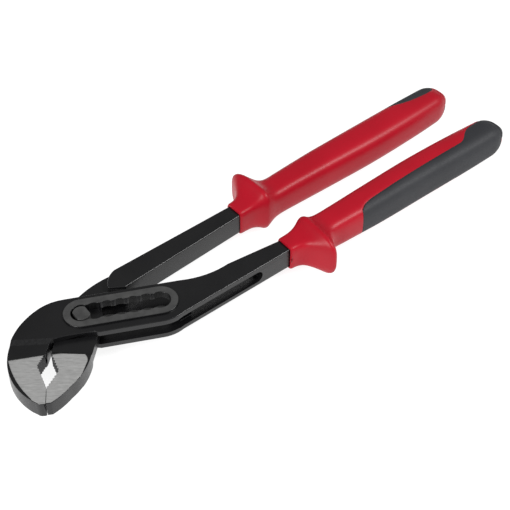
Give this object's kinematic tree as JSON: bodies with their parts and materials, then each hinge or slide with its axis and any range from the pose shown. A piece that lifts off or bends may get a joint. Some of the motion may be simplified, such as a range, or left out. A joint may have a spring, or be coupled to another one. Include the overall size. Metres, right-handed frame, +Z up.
{
  "type": "tongue and groove pliers",
  "caption": "Adjustable water pump pliers: curved toothed jaws, a pin that steps along a scalloped slot, and long handles with guarded two-part grips.",
  "frame": {"origin": "under the middle of the tool's outline, on the surface that it lies on", "axes": "+X along the handles, away from the jaws; +Z up, along the pivot pin; +Y from the outer lever's handle towards the inner lever's"},
  "size_m": [0.318, 0.0803, 0.027],
  "materials": {
    "black_steel": "satin black oxide on forged steel, with bare ground jaw faces and a worn ring",
    "pin_steel": "dark hardened steel, lightly worn",
    "red_grip": "satin red moulded plastic",
    "soft_grip": "matt dark grey soft rubber"
  },
  "bodies": {
    "outer_half": {"outer_lever": "black_steel", "outer_grip_body": "red_grip", "outer_grip_soft": "soft_grip"},
    "pin": {"pivot_pin": "pin_steel"},
    "inner_half": {"inner_lever": "black_steel", "inner_grip_body": "red_grip", "inner_grip_soft": "soft_grip"}
  },
  "joints": [
    {"name": "pin_slide", "type": "slide", "parent": "outer_half", "child": "pin", "axis": [0.9272, -0.3746, 0], "range_m": [0, 0.0396]},
    {"name": "pin_pivot", "type": "hinge", "parent": "pin", "child": "inner_half", "pos_m": [-0.11, -0.0009, 0.0135], "axis": [0, 0, 1], "range_deg": [0, 50]}
  ]
}
